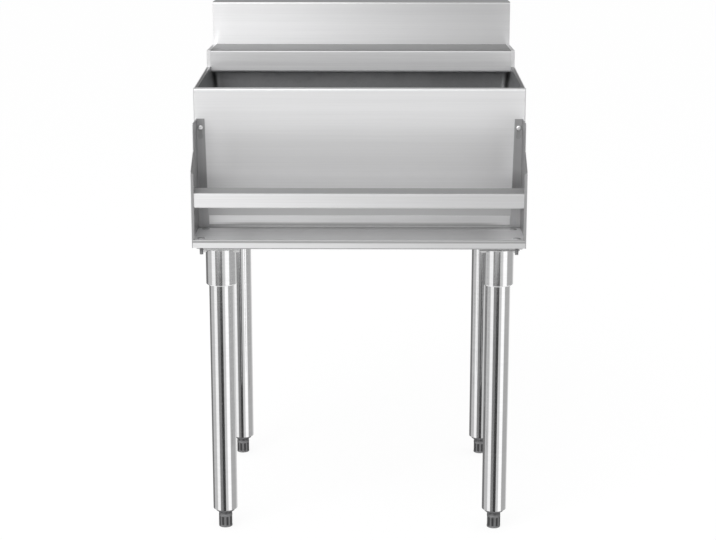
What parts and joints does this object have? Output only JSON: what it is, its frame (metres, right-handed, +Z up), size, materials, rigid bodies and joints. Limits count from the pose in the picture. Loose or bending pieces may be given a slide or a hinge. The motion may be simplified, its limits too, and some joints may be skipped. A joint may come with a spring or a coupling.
{
  "type": "underbar ice bin",
  "caption": "Free-standing stainless underbar ice bin: insulated drained tub with rear deck and backsplash, lift-off bottle rail at the front, tube legs with adjusting feet.",
  "frame": {"origin": "on the floor under the middle of the whole bin, speed rail included", "axes": "+Z up, +X to the right seen from the front, +Y from the front towards the wall"},
  "size_m": [0.54, 0.561, 0.878],
  "materials": {
    "panel_steel": "satin",
    "liner_steel": "satin",
    "rail_steel": "satin",
    "underside_steel": "satin",
    "leg_tube_steel": "polished",
    "socket_steel": "satin",
    "plug_nylon": "matte",
    "foot_steel": "satin",
    "fastener_steel": "satin",
    "drain_steel": "satin",
    "seal_rubber": "matte",
    "foam": "matte"
  },
  "bodies": {
    "bin": {"back_panel": "underside_steel", "backsplash": "panel_steel", "bottom_panel": "underside_steel", "drain_body": "drain_steel", "drain_gasket": "seal_rubber", "drain_locknut": "drain_steel", "drain_tailpiece": "drain_steel", "drain_washer": "seal_rubber", "foam_insulation": "foam", "front_apron": "panel_steel", "front_left_leg_plug": "plug_nylon", "front_left_leg_socket": "socket_steel", "front_left_leg_tube": "leg_tube_steel", "front_right_leg_plug": "plug_nylon", "front_right_leg_socket": "socket_steel", "front_right_leg_tube": "leg_tube_steel", "ice_liner": "liner_steel", "left_leg_channel": "underside_steel", "left_side_panel": "panel_steel", "left_splash_end_cap": "panel_steel", "rail_hanger_nuts": "fastener_steel", "rail_hanger_screws": "fastener_steel", "rear_deck": "panel_steel", "rear_left_leg_plug": "plug_nylon", "rear_left_leg_socket": "socket_steel", "rear_left_leg_tube": "leg_tube_steel", "rear_right_leg_plug": "plug_nylon", "rear_right_leg_socket": "socket_steel", "rear_right_leg_tube": "leg_tube_steel", "right_leg_channel": "underside_steel", "right_side_panel": "panel_steel", "right_splash_end_cap": "panel_steel", "socket_bolts": "fastener_steel", "socket_nuts": "fastener_steel", "socket_set_screws": "fastener_steel"},
    "speed_rail": {"left_rail_end_plate": "rail_steel", "right_rail_end_plate": "rail_steel", "rail_trough": "rail_steel", "rail_front_bar": "rail_steel", "rail_floor_bolts": "fastener_steel", "rail_floor_nuts": "fastener_steel"},
    "strainer": {"drain_strainer": "drain_steel"},
    "front_left_foot": {"front_left_foot": "foot_steel"},
    "front_right_foot": {"front_right_foot": "foot_steel"},
    "rear_left_foot": {"rear_left_foot": "foot_steel"},
    "rear_right_foot": {"rear_right_foot": "foot_steel"}
  },
  "joints": [
    {"name": "rail_lift", "type": "slide", "parent": "bin", "child": "speed_rail", "axis": [0, 0, 1], "range_m": [0, 0.014]},
    {"name": "strainer_lift", "type": "slide", "parent": "bin", "child": "strainer", "axis": [0, 0, 1], "range_m": [0, 0.08]},
    {"name": "front_left_foot_screw", "type": "slide", "parent": "bin", "child": "front_left_foot", "axis": [0, 0, 1], "range_m": [-0.012, 0.012]},
    {"name": "front_right_foot_screw", "type": "slide", "parent": "bin", "child": "front_right_foot", "axis": [0, 0, 1], "range_m": [-0.012, 0.012]},
    {"name": "rear_left_foot_screw", "type": "slide", "parent": "bin", "child": "rear_left_foot", "axis": [0, 0, 1], "range_m": [-0.012, 0.012]},
    {"name": "rear_right_foot_screw", "type": "slide", "parent": "bin", "child": "rear_right_foot", "axis": [0, 0, 1], "range_m": [-0.012, 0.012]}
  ]
}
